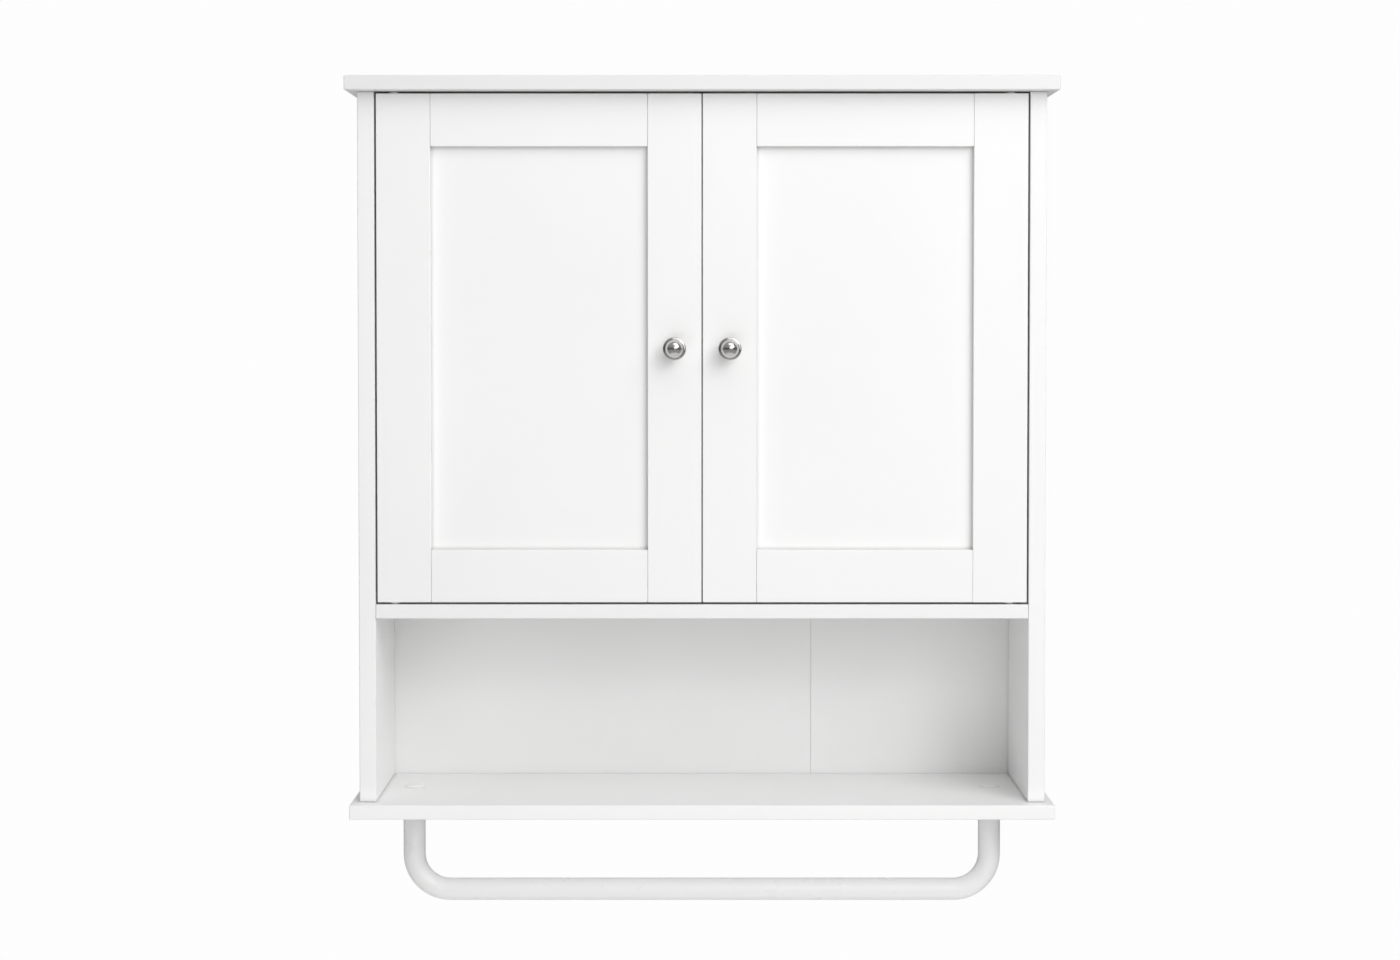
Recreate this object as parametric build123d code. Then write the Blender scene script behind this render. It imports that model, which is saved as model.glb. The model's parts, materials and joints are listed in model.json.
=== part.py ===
from build123d import *
import os

# A wall cabinet that hangs on two screws: two framed doors on pivot pins above, an open
# niche below them, and a bent towel bar under the bottom board. Millimetres.
# Frame: X to the right as seen from the front, the front faces -Y, +Z up. Y = 0 is the
# wall plane, and the origin lies midway between the two wall screws.

# ---- driving dimensions ----------------------------------------------------------------

INNER_WIDTH = 545.0          # between the two side panels
SIDE_THK = 14.0
BOARD_THK = 12.0             # top, bottom, shelves and hanging rail
UPPER_HEIGHT = 427.0         # door compartment, clear height
NICHE_HEIGHT = 154.0
INNER_DEPTH = 148.0          # from the sides' front edges to the back sheets
BACK_THK = 3.0

TOP_FRONT_OVERHANG = 17.0
TOP_SIDE_OVERHANG = 9.0
BOTTOM_FRONT_OVERHANG = 15.6
BOTTOM_SIDE_OVERHANG = 7.0

WALL_SCREW_DROP = 30.0       # wall screws below the top board's underside
WALL_SCREW_SPACING = 400.0
WALL_SCREW_HOLE_R = 2.75
RAIL_HEIGHT = 60.0

BACK_SEAM_X = 97.0           # where the two back sheets meet
BACK_SEAM_GAP = 0.2
GROOVE_DEPTH = 5.0           # for the back sheets, in sides, top and bottom
GROOVE_PLAY = 0.1            # on each side of the sheet
BACK_TAPE_WIDTH = 40.0
BACK_TAPE_THK = 0.3

DOOR_THK = 15.0
DOOR_GAP = 1.5               # between a door and the side panel
DOOR_MEETING_GAP = 0.8       # between the two doors
DOOR_END_GAP = 1.6           # above and below the doors
FRAME_WIDTH = 45.0           # stiles
RAIL_WIDTH = 44.0            # door rails
PANEL_THK = 5.0
PANEL_RECESS = 7.0           # panel's face behind the frame's face
TONGUE = 6.0                 # how far panel and rails enter the grooves
PANEL_FLOAT = 0.3            # room round the panel in its grooves

PIVOT_INSET = 14.5           # pivot axis in from the door's outer edge
PIVOT_BEHIND_FACE = 6.0
PIVOT_PIN_R = 2.5
PIVOT_PIN_IN_BOARD = 9.0
PIVOT_PIN_IN_BUSH = 10.0
BUSH_R = 4.0
BUSH_LENGTH = 12.0
BUSH_FLANGE_R = 4.6
BUSH_FLANGE_THK = 0.8
PIN_COLLAR_R = 4.0
PIN_COLLAR_THK = 0.75        # the bush's flange turns on it
RUNNING_PLAY = 0.06          # radial, pin in bush

KNOB_FROM_MEETING_EDGE = 22.6
KNOB_LENGTH = 22.6           # out from the door's face
KNOB_HEAD_R = 9.7
KNOB_FOOT_R = 6.5
KNOB_FOOT_THK = 1.2
KNOB_NECK_R = 4.6
KNOB_NECK_AT = 6.0
KNOB_RIM_REAR = 13.4
KNOB_RIM_ROUND = 1.2
KNOB_STEP = 0.6
KNOB_DOME_BASE_R = 7.7
KNOB_SCREW_R = 2.0
KNOB_SCREW_REACH = 9.0       # thread inside the knob
KNOB_SCREW_HEAD_R = 3.8
KNOB_SCREW_HEAD = 2.4
SCREW_PLAY = 0.2             # radial, machine screws through boards

ADJUSTABLE_SHELF_DEPTH = 120.0
ADJUSTABLE_SHELF_SIDE_GAP = 1.0
ADJUSTABLE_SHELF_BACK_GAP = 1.0
SHELF_PIN_R = 2.5
SHELF_PIN_HEAD_R = 3.5
SHELF_PIN_HEAD_LENGTH = 8.0
SHELF_PIN_PITCH = 64.0       # three heights
SHELF_PIN_HOLE_DEPTH = 9.5
SHELF_PIN_IN_SIDE = 9.0
SHELF_PIN_FROM_FRONT = 50.0
SHELF_PIN_FROM_BACK = 28.0

CAM_R = 6.0
CAM_LENGTH = 9.5
CAM_SLOT = (8.0, 1.2, 2.4)
CAM_FROM_EDGE = 24.0         # cam centre to the joint face
CONNECTOR_LINE = 6.0         # connectors' axes in from the face that the cams open to
CAM_BOLT_THREAD_R = 3.0
CAM_BOLT_IN_BOARD = 9.0
CAM_BOLT_SHAFT_R = 2.5
CAM_BOLT_NECK_R = 1.5
CAM_BOLT_NECK = 4.0
CAM_BOLT_HEAD_R = 2.8
CAM_BOLT_HEAD = 3.0
DOWEL_R = 3.0
DOWEL_LENGTH = 24.0
DOWEL_CHAMFER = 0.8
DOWEL_IN_FACE = 9.0          # in the board whose face is drilled
HOLE_PLAY = 0.05             # radial, fasteners in their holes
HOLE_END_ROOM = 0.5          # past the end of a fastener
CAM_SETBACKS = (33.0, 123.0)  # from the sides' front edges; the bottom screws' too
DOWEL_SETBACKS = (60.0, 98.0)
BOTTOM_SCREW_R = 2.5
BOTTOM_SCREW_HEAD_R = 4.5
BOTTOM_SCREW_LENGTH = 40.0
HEX_SOCKET_R = 2.0
HEX_SOCKET_DEPTH = 2.5

TOWEL_BAR_R = 9.5
TOWEL_BAR_WALL = 1.2
TOWEL_BAR_SPACING = 497.0    # leg to leg
TOWEL_BAR_DROP = 77.0        # bar's centreline below the bottom board
TOWEL_BAR_BEND_R = 31.0
TOWEL_BAR_SETBACK = 79.0     # behind the sides' front edges
PLUG_LENGTH = 16.0
BAR_SCREW_R = 3.0
BAR_SCREW_LENGTH = 20.0
BAR_SCREW_HEAD_R = 5.75
BAR_SCREW_HEAD = 3.2
COUNTERBORE_R = 6.25
COUNTERBORE_DEPTH = 5.0
CAP_R = 8.0
CAP_THK = 1.6
CAP_EDGE = 0.8               # upright part of its edge, and the bevel above it
CAP_STEM = 1.6

CATCH_CENTRE_X = 27.0
CATCH_WIDTH = 36.0
CATCH_DEPTH = 13.0
CATCH_HEIGHT = 16.0
CATCH_WALL = 1.6
CATCH_TO_STRIKE = 0.2        # air left between pole plates and strike plate
CATCH_SCREW_OFFSET = 14.0
MAGNET_SIZE = (18.0, 10.0, 6.0)
POLE_THK = 1.2
MAGNET_SETBACK = 0.6         # behind the pole plates' edges
STRIKE_SIZE = (28.0, 1.0, 12.0)
STRIKE_FROM_DOOR_TOP = 1.0
STRIKE_SCREW_HEAD_R = 2.3
SMALL_SCREW_R = 1.5
SMALL_SCREW_HEAD_R = 2.9
SMALL_SCREW_HEAD = 1.8
SMALL_SCREW_GRIP = 8.0

# ---- levels worked out from them -------------------------------------------------------

TOP_UNDER = WALL_SCREW_DROP
TOP_UPPER = TOP_UNDER + BOARD_THK
FIXED_UPPER = TOP_UNDER - UPPER_HEIGHT
FIXED_UNDER = FIXED_UPPER - BOARD_THK
NICHE_FLOOR = FIXED_UNDER - NICHE_HEIGHT
BOTTOM_UNDER = NICHE_FLOOR - BOARD_THK

INNER_X = INNER_WIDTH / 2
OUTER_X = INNER_X + SIDE_THK
CONNECTOR_X = INNER_X + CONNECTOR_LINE
BACK_REAR = -BOARD_THK
BACK_FACE = BACK_REAR - BACK_THK
FRONT = BACK_FACE - INNER_DEPTH

DOOR_TOP = TOP_UNDER - DOOR_END_GAP
DOOR_FOOT = FIXED_UPPER + DOOR_END_GAP
DOOR_MID_Z = (DOOR_TOP + DOOR_FOOT) / 2
DOOR_OUTER_X = INNER_X - DOOR_GAP
DOOR_INNER_X = DOOR_MEETING_GAP / 2
DOOR_REAR = FRONT + DOOR_THK
PANEL_FRONT = FRONT + PANEL_RECESS
PANEL_REAR = PANEL_FRONT + PANEL_THK
PIVOT_X = DOOR_OUTER_X - PIVOT_INSET
PIVOT_Y = FRONT + PIVOT_BEHIND_FACE
KNOB_X = DOOR_INNER_X + KNOB_FROM_MEETING_EDGE

SHELF_UNDER = DOOR_MID_Z - BOARD_THK / 2
SHELF_PIN_Z = SHELF_UNDER - SHELF_PIN_HEAD_R
SHELF_REAR = BACK_FACE - ADJUSTABLE_SHELF_BACK_GAP
SHELF_PIN_YS = (FRONT + SHELF_PIN_FROM_FRONT, BACK_FACE - SHELF_PIN_FROM_BACK)

CAM_YS = [FRONT + setback for setback in CAM_SETBACKS]
DOWEL_YS = [FRONT + setback for setback in DOWEL_SETBACKS]
FIXED_LINE_Z = FIXED_UNDER + CONNECTOR_LINE
RAIL_DOWEL_ZS = (RAIL_HEIGHT / 5, -RAIL_HEIGHT / 5)
RAIL_MID_Y = -BOARD_THK / 2
TOWEL_BAR_Y = FRONT + TOWEL_BAR_SETBACK
TOWEL_BAR_LEG_X = TOWEL_BAR_SPACING / 2
STRIKE_MID_Z = DOOR_TOP - STRIKE_FROM_DOOR_TOP - STRIKE_SIZE[2] / 2
CATCH_FRONT = DOOR_REAR + STRIKE_SIZE[1] + CATCH_TO_STRIKE
SIDES = (-1, 1)
PIN_BOARD_FACES = ((TOP_UNDER, 1), (FIXED_UPPER, -1))        # height, way into the board
BUSH_DOOR_ENDS = ((DOOR_TOP, -1), (DOOR_FOOT, 1))            # height, way into the door


# ---- helpers ---------------------------------------------------------------------------


def block(x_span, y_span, z_span):
    """A box between two corners, the ends of each span in any order."""
    spans = (x_span, y_span, z_span)
    middle = [(a + b) / 2 for a, b in spans]
    size = [abs(b - a) for a, b in spans]
    return Pos(*middle) * Box(*size)


def rod(radius, start, direction, length):
    """A round bar from start along direction."""
    plane = Plane(origin=start, z_dir=direction)
    return plane * Cylinder(radius, length, align=(Align.CENTER, Align.CENTER, Align.MIN))


def turned(profile, start, direction):
    """A turned piece: profile is (radius, distance) points, distance measured from start."""
    outline = [(0, profile[0][1])] + list(profile) + [(0, profile[-1][1])]
    section = Plane.XZ * make_face(Polyline(*outline, close=True))
    piece = revolve(section, Axis.Z)
    return Plane(origin=start, z_dir=direction) * piece


def opposite(direction):
    return tuple(-d for d in direction)


def offset(point, direction, distance):
    """The point moved along direction."""
    return tuple(p + d * distance for p, d in zip(point, direction))


def screw(start, direction, radius, length, head_radius, head_height):
    """A pan-head screw: start is under the head, the shank runs along direction."""
    shank = rod(radius, start, direction, length)
    return shank + rod(head_radius, offset(start, direction, -head_height), direction, head_height)


def countersunk_screw(start, direction, radius, length, head_radius):
    """A flush screw: start is at the head's flat face."""
    taper = head_radius - radius
    profile = [(head_radius, 0), (radius, taper), (radius, length)]
    return turned(profile, start, direction)


def cross_slot(seat, direction, head_height, head_radius):
    """The driver's cross in a pan head, half as deep as the head."""
    long, wide = head_radius * 1.1, head_radius * 0.24
    cross = Box(long, wide, head_height) + Box(wide, long, head_height)
    head_face = offset(seat, direction, -head_height)
    return Plane(origin=head_face, z_dir=direction) * cross


def save(name, *solids):
    """One STEP file for one sub-part, its pieces kept as separate solids."""
    shape = solids[0] if len(solids) == 1 else Compound(children=list(solids))
    export_step(shape, f"parts/{name}.step")


# ---- connectors: where they are, and what they need drilled ------------------------------


def cam_joints():
    """(joint point, direction from the drilled face into the cam's board, cam's face) each."""
    places = []
    for side in SIDES:
        for y in CAM_YS:
            places.append(((side * CONNECTOR_X, y, TOP_UNDER), (0, 0, -1), (-side, 0, 0)))
            places.append(((side * INNER_X, y, FIXED_LINE_Z), (-side, 0, 0), (0, 0, -1)))
    return places


def dowel_joints():
    """(joint point, direction out of the drilled face) for each dowel."""
    places = []
    for side in SIDES:
        for y in DOWEL_YS:
            places.append(((side * CONNECTOR_X, y, TOP_UNDER), (0, 0, -1)))
            places.append(((side * CONNECTOR_X, y, NICHE_FLOOR), (0, 0, 1)))
            places.append(((side * INNER_X, y, FIXED_LINE_Z), (-side, 0, 0)))
        for z in RAIL_DOWEL_ZS:
            places.append(((side * INNER_X, RAIL_MID_Y, z), (-side, 0, 0)))
    return places


def bottom_screw_points():
    """Where each bottom screw's head lies, flush with the bottom board's underside."""
    return [(side * CONNECTOR_X, y, BOTTOM_UNDER) for side in SIDES for y in CAM_YS]


def towel_bar_points():
    """Tops of the two legs, at the bottom board's underside."""
    return [(side * TOWEL_BAR_LEG_X, TOWEL_BAR_Y, BOTTOM_UNDER) for side in SIDES]


def cam_centre(point, direction, cam_face):
    """Middle of the cam's outer face, flush with the board that holds it."""
    return offset(offset(point, direction, CAM_FROM_EDGE), cam_face, CONNECTOR_LINE)


def cam_drilling():
    """Everything the cam joints remove: bolt bores and cam pockets."""
    cuts = []
    for point, direction, cam_face in cam_joints():
        start = offset(point, direction, -CAM_BOLT_IN_BOARD - HOLE_END_ROOM)
        reach = CAM_BOLT_IN_BOARD + HOLE_END_ROOM + CAM_FROM_EDGE
        cuts.append(rod(CAM_BOLT_THREAD_R + HOLE_PLAY, start, direction, reach))
        centre = cam_centre(point, direction, cam_face)
        cuts.append(rod(CAM_R + HOLE_PLAY, centre, opposite(cam_face), CAM_LENGTH + HOLE_PLAY))
    return cuts


def dowel_drilling():
    cuts = []
    for point, direction in dowel_joints():
        start = offset(point, direction, -DOWEL_IN_FACE - HOLE_END_ROOM)
        length = DOWEL_LENGTH + 2 * HOLE_END_ROOM
        cuts.append(rod(DOWEL_R + HOLE_PLAY, start, direction, length))
    return cuts


def bottom_screw_drilling():
    """Countersunk bores, a little wider than the screws all the way."""
    cuts = []
    for point in bottom_screw_points():
        length = BOTTOM_SCREW_LENGTH + HOLE_END_ROOM
        radius = BOTTOM_SCREW_R + HOLE_PLAY
        head_radius = BOTTOM_SCREW_HEAD_R + HOLE_PLAY
        cuts.append(countersunk_screw(point, (0, 0, 1), radius, length, head_radius))
    return cuts


def pivot_pin_drilling():
    """Blind holes for the pivot pins, in the top board and in the fixed shelf."""
    cuts = []
    for side in SIDES:
        for z, up in PIN_BOARD_FACES:
            point = (side * PIVOT_X, PIVOT_Y, z)
            cuts.append(rod(PIVOT_PIN_R + HOLE_PLAY, point, (0, 0, up), PIVOT_PIN_IN_BOARD + HOLE_PLAY))
    return cuts


def back_groove():
    """The ring of groove that the back sheets sit in, stopped before the boards' ends."""
    y_span = (BACK_FACE - GROOVE_PLAY, BACK_REAR + GROOVE_PLAY)
    x = INNER_X + GROOVE_DEPTH
    return block((-x, x), y_span, (NICHE_FLOOR - GROOVE_DEPTH, TOP_UNDER + GROOVE_DEPTH))


def catch_screw_points():
    """Under each catch ear: where its two screws' heads bear."""
    z = TOP_UNDER - CATCH_WALL
    y = CATCH_FRONT + CATCH_DEPTH / 2
    xs = [side * CATCH_CENTRE_X + end * CATCH_SCREW_OFFSET for side in SIDES for end in SIDES]
    return [(x, y, z) for x in xs]



# ---- carcass ---------------------------------------------------------------------------


def top_board():
    x = OUTER_X + TOP_SIDE_OVERHANG
    board = block((-x, x), (FRONT - TOP_FRONT_OVERHANG, 0), (TOP_UNDER, TOP_UPPER))
    board -= cam_drilling() + dowel_drilling() + pivot_pin_drilling()
    board -= back_groove()
    for point in catch_screw_points():
        board -= rod(SMALL_SCREW_R + HOLE_PLAY, point, (0, 0, 1), SMALL_SCREW_GRIP + HOLE_END_ROOM)
    return board


def bottom_board():
    x = OUTER_X + BOTTOM_SIDE_OVERHANG
    board = block((-x, x), (FRONT - BOTTOM_FRONT_OVERHANG, 0), (BOTTOM_UNDER, NICHE_FLOOR))
    board -= dowel_drilling() + bottom_screw_drilling()
    board -= back_groove()
    for x, y, z in towel_bar_points():
        board -= rod(BAR_SCREW_R + SCREW_PLAY, (x, y, z), (0, 0, 1), BOARD_THK)
        mouth = (x, y, NICHE_FLOOR - COUNTERBORE_DEPTH)
        board -= rod(COUNTERBORE_R, mouth, (0, 0, 1), COUNTERBORE_DEPTH)
    return board


def side_panel(side):
    panel = block((side * INNER_X, side * OUTER_X), (FRONT, 0), (NICHE_FLOOR, TOP_UNDER))
    panel -= cam_drilling() + dowel_drilling() + bottom_screw_drilling()
    panel -= back_groove()
    for y in SHELF_PIN_YS:
        for step in (-1, 0, 1):
            mouth = (side * INNER_X, y, SHELF_PIN_Z + step * SHELF_PIN_PITCH)
            panel -= rod(SHELF_PIN_R + HOLE_PLAY, mouth, (side, 0, 0), SHELF_PIN_HOLE_DEPTH)
    return panel


def fixed_shelf():
    shelf = block((-INNER_X, INNER_X), (FRONT, BACK_FACE), (FIXED_UNDER, FIXED_UPPER))
    return shelf - (cam_drilling() + dowel_drilling() + pivot_pin_drilling())


def adjustable_shelf():
    x = INNER_X - ADJUSTABLE_SHELF_SIDE_GAP
    y_span = (SHELF_REAR - ADJUSTABLE_SHELF_DEPTH, SHELF_REAR)
    return block((-x, x), y_span, (SHELF_UNDER, SHELF_UNDER + BOARD_THK))


def wall_screw_bores():
    """Clearance bores for the wall screws, through back sheet and rail."""
    return [
        rod(WALL_SCREW_HOLE_R, (side * WALL_SCREW_SPACING / 2, BACK_FACE, 0), (0, 1, 0), -BACK_FACE)
        for side in SIDES
    ]


def back_panel(x_span):
    reach = GROOVE_DEPTH - HOLE_END_ROOM
    z_span = (NICHE_FLOOR - reach, TOP_UNDER + reach)
    return block(x_span, (BACK_FACE, BACK_REAR), z_span) - wall_screw_bores()


def back_fold_tape():
    """The tape on the rear of the fold, below the hanging rail."""
    half = BACK_TAPE_WIDTH / 2
    x_span = (BACK_SEAM_X - half, BACK_SEAM_X + half)
    return block(x_span, (BACK_REAR, BACK_REAR + BACK_TAPE_THK), (NICHE_FLOOR, -RAIL_HEIGHT / 2))


def hanging_rail():
    half = RAIL_HEIGHT / 2
    rail = block((-INNER_X, INNER_X), (BACK_REAR, 0), (-half, half))
    return rail - (wall_screw_bores() + dowel_drilling())


def cam_bolt(point, direction):
    """Threaded end in the drilled board, shaft, neck, and the head that the cam grips."""
    shaft = CAM_FROM_EDGE - CAM_BOLT_HEAD / 2 - CAM_BOLT_NECK
    lengths = (CAM_BOLT_IN_BOARD, shaft, CAM_BOLT_NECK, CAM_BOLT_HEAD)
    radii = (CAM_BOLT_THREAD_R, CAM_BOLT_SHAFT_R, CAM_BOLT_NECK_R, CAM_BOLT_HEAD_R)
    profile = []
    distance = -CAM_BOLT_IN_BOARD
    for radius, length in zip(radii, lengths):
        profile.append((radius, distance))
        distance += length
        profile.append((radius, distance))
    return turned(profile, point, direction)


def cam_nut(point, direction, cam_face):
    """A drum with a cross slot in its face and a radial bore for the bolt's head."""
    centre = cam_centre(point, direction, cam_face)
    drum = rod(CAM_R, centre, opposite(cam_face), CAM_LENGTH)
    bore_start = offset(point, direction, CAM_FROM_EDGE - CAM_R)
    drum -= rod(CAM_BOLT_THREAD_R, bore_start, direction, CAM_R + CAM_BOLT_HEAD)
    slot = Box(*CAM_SLOT) + Rot(0, 0, 90) * Box(*CAM_SLOT)
    return drum - Plane(origin=centre, z_dir=cam_face) * slot


def dowel(point, direction):
    """A beech dowel with chamfered ends."""
    near, far = -DOWEL_IN_FACE, DOWEL_LENGTH - DOWEL_IN_FACE
    end_r = DOWEL_R - DOWEL_CHAMFER
    profile = [(end_r, near), (DOWEL_R, near + DOWEL_CHAMFER)]
    profile += [(DOWEL_R, far - DOWEL_CHAMFER), (end_r, far)]
    return turned(profile, point, direction)


def bottom_screw(point):
    """A flush connecting screw with a hexagon socket."""
    body = countersunk_screw(point, (0, 0, 1), BOTTOM_SCREW_R, BOTTOM_SCREW_LENGTH, BOTTOM_SCREW_HEAD_R)
    socket = extrude(RegularPolygon(HEX_SOCKET_R, 6), HEX_SOCKET_DEPTH)
    return body - Pos(*point) * socket


def shelf_pin(side, y):
    """Shank in the side panel, thicker head under the shelf."""
    joint = (side * INNER_X, y, SHELF_PIN_Z)
    shank = rod(SHELF_PIN_R, joint, (side, 0, 0), SHELF_PIN_IN_SIDE)
    return shank + rod(SHELF_PIN_HEAD_R, joint, (-side, 0, 0), SHELF_PIN_HEAD_LENGTH)


def pivot_pin(side, z, up):
    """Pressed into the board at z, with a collar on its face, standing out into the door's bush."""
    reach = DOOR_END_GAP + PIVOT_PIN_IN_BUSH
    inner_end = (side * PIVOT_X, PIVOT_Y, z + up * PIVOT_PIN_IN_BOARD)
    pin = rod(PIVOT_PIN_R, inner_end, (0, 0, -up), PIVOT_PIN_IN_BOARD + reach)
    return pin + rod(PIN_COLLAR_R, (side * PIVOT_X, PIVOT_Y, z), (0, 0, -up), PIN_COLLAR_THK)


# ---- towel bar -------------------------------------------------------------------------


def towel_bar():
    """One tube: down, round, across, round and up."""
    left, right = towel_bar_points()
    foot_z = BOTTOM_UNDER - TOWEL_BAR_DROP
    corners = [left, (left[0], left[1], foot_z), (right[0], right[1], foot_z), right]
    path = FilletPolyline(*corners, radius=TOWEL_BAR_BEND_R)
    ring = Circle(TOWEL_BAR_R) - Circle(TOWEL_BAR_R - TOWEL_BAR_WALL)
    return sweep(Plane(origin=left, z_dir=(0, 0, -1)) * ring, path=path)


def towel_bar_plug(point):
    """The threaded plug inside a leg's end."""
    plug = rod(TOWEL_BAR_R - TOWEL_BAR_WALL, point, (0, 0, -1), PLUG_LENGTH)
    return plug - rod(BAR_SCREW_R + HOLE_PLAY, point, (0, 0, -1), PLUG_LENGTH)


def towel_bar_screw(point):
    """From the counterbore in the niche floor down into the plug, with a cross slot."""
    seat_z = NICHE_FLOOR - COUNTERBORE_DEPTH
    seat = (point[0], point[1], seat_z)
    piece = screw(seat, (0, 0, -1), BAR_SCREW_R, BAR_SCREW_LENGTH, BAR_SCREW_HEAD_R, BAR_SCREW_HEAD)
    return piece - cross_slot(seat, (0, 0, -1), BAR_SCREW_HEAD, BAR_SCREW_HEAD_R)


def screw_cover_cap(point):
    """A low domed disc with a stem that plugs the counterbore."""
    floor = (point[0], point[1], NICHE_FLOOR)
    stem_r = COUNTERBORE_R - HOLE_PLAY
    profile = [(stem_r, -CAP_STEM), (stem_r, 0), (CAP_R, 0), (CAP_R, CAP_EDGE)]
    profile += [(CAP_R - CAP_EDGE, CAP_THK), (CAP_R - 2 * CAP_EDGE, CAP_THK)]
    return turned(profile, floor, (0, 0, 1))


# ---- magnetic catches ------------------------------------------------------------------


def catch_centre(side):
    """Middle of the catch's front face."""
    return (side * CATCH_CENTRE_X, CATCH_FRONT, TOP_UNDER - CATCH_HEIGHT / 2)


def magnet_room(side):
    """The space inside the housing for the magnet and its two pole plates."""
    x, front, z = catch_centre(side)
    width, depth, height = MAGNET_SIZE
    half_height = height / 2 + POLE_THK
    z_span = (z - half_height, z + half_height)
    return block((x - width / 2, x + width / 2), (front, front + depth), z_span)


def catch_housing(side):
    """A box open to the front round the magnet, with a screwed ear at each end."""
    x, front, _ = catch_centre(side)
    half_width = MAGNET_SIZE[0] / 2 + CATCH_WALL
    box_z = (TOP_UNDER - CATCH_HEIGHT, TOP_UNDER)
    housing = block((x - half_width, x + half_width), (front, front + CATCH_DEPTH), box_z)
    ear_z = (TOP_UNDER - CATCH_WALL, TOP_UNDER)
    ear_x = (x - CATCH_WIDTH / 2, x + CATCH_WIDTH / 2)
    housing += block(ear_x, (front, front + CATCH_DEPTH), ear_z)
    housing -= magnet_room(side)
    for point in catch_screw_points():
        housing -= rod(SMALL_SCREW_R + HOLE_PLAY, point, (0, 0, 1), CATCH_WALL)
    return housing


def pole_plates(side):
    """Thin steel plates above and below the magnet, flush with its front."""
    x, front, z = catch_centre(side)
    width, depth, height = MAGNET_SIZE
    plates = []
    for up in SIDES:
        z_span = (z + up * height / 2, z + up * (height / 2 + POLE_THK))
        plates.append(block((x - width / 2, x + width / 2), (front, front + depth), z_span))
    return plates


def magnet(side):
    """Set a little behind its pole plates' edges."""
    x, front, z = catch_centre(side)
    width, depth, height = MAGNET_SIZE
    y_span = (front + MAGNET_SETBACK, front + depth)
    return block((x - width / 2, x + width / 2), y_span, (z - height / 2, z + height / 2))


def small_screw(seat, direction):
    """A short pan-head wood screw with a cross slot in its head."""
    piece = screw(seat, direction, SMALL_SCREW_R, SMALL_SCREW_GRIP, SMALL_SCREW_HEAD_R, SMALL_SCREW_HEAD)
    return piece - cross_slot(seat, direction, SMALL_SCREW_HEAD, SMALL_SCREW_HEAD_R)


# ---- doors -----------------------------------------------------------------------------


def stile(side, inner, outer):
    """A full-height upright with a groove for panel and rails in its inner edge."""
    upright = block((side * inner, side * outer), (FRONT, DOOR_REAR), (DOOR_FOOT, DOOR_TOP))
    return upright - panel_room(side)


def panel_room(side):
    """The space that the grooves leave for the panel, all the way up the door."""
    near = DOOR_INNER_X + FRAME_WIDTH - TONGUE
    far = DOOR_OUTER_X - FRAME_WIDTH + TONGUE
    return block((side * near, side * far), (PANEL_FRONT, PANEL_REAR), (DOOR_FOOT, DOOR_TOP))


def hinge_stile(side):
    upright = stile(side, DOOR_OUTER_X - FRAME_WIDTH, DOOR_OUTER_X)
    for z, up in BUSH_DOOR_ENDS:
        mouth = (side * PIVOT_X, PIVOT_Y, z)
        upright -= rod(BUSH_R, mouth, (0, 0, up), BUSH_LENGTH + HOLE_END_ROOM)
    return upright


def meeting_stile(side):
    upright = stile(side, DOOR_INNER_X, DOOR_INNER_X + FRAME_WIDTH)
    upright -= rod(KNOB_SCREW_R + SCREW_PLAY, knob_axis(side), (0, 1, 0), DOOR_THK)
    strike_hole = (side * CATCH_CENTRE_X, DOOR_REAR, STRIKE_MID_Z)
    return upright - rod(SMALL_SCREW_R + HOLE_PLAY, strike_hole, (0, -1, 0), SMALL_SCREW_GRIP)


def door_rail(side, z_outer, z_inner):
    """A cross rail with a stub tenon at each end and a groove along its inner edge."""
    near = DOOR_INNER_X + FRAME_WIDTH
    far = DOOR_OUTER_X - FRAME_WIDTH
    z_span = (z_outer, z_inner)
    rail = block((side * near, side * far), (FRONT, DOOR_REAR), z_span)
    tenon_x = (side * (near - TONGUE), side * (far + TONGUE))
    rail += block(tenon_x, (PANEL_FRONT, PANEL_REAR), z_span)
    inward = 1 if z_inner > z_outer else -1
    return rail - block(tenon_x, (PANEL_FRONT, PANEL_REAR), (z_inner - inward * TONGUE, z_inner))


def door_panel(side):
    reach = TONGUE - PANEL_FLOAT
    x_near = DOOR_INNER_X + FRAME_WIDTH - reach
    x_far = DOOR_OUTER_X - FRAME_WIDTH + reach
    z_span = (DOOR_FOOT + RAIL_WIDTH - reach, DOOR_TOP - RAIL_WIDTH + reach)
    return block((side * x_near, side * x_far), (PANEL_FRONT, PANEL_REAR), z_span)


def pivot_bush(side, z, up):
    """A flanged plastic bush in the stile's end, bored for the pin; up points into the door."""
    mouth = (side * PIVOT_X, PIVOT_Y, z)
    bush = rod(BUSH_R, mouth, (0, 0, up), BUSH_LENGTH)
    bush += rod(BUSH_FLANGE_R, mouth, (0, 0, -up), BUSH_FLANGE_THK)
    bore_start = offset(mouth, (0, 0, up), -BUSH_FLANGE_THK)
    bore_length = BUSH_FLANGE_THK + PIVOT_PIN_IN_BUSH + HOLE_END_ROOM
    return bush - rod(PIVOT_PIN_R + RUNNING_PLAY, bore_start, (0, 0, up), bore_length)


def knob_axis(side):
    """Where the knob's axis meets the door's front face."""
    return (side * KNOB_X, FRONT, DOOR_MID_Z)


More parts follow.
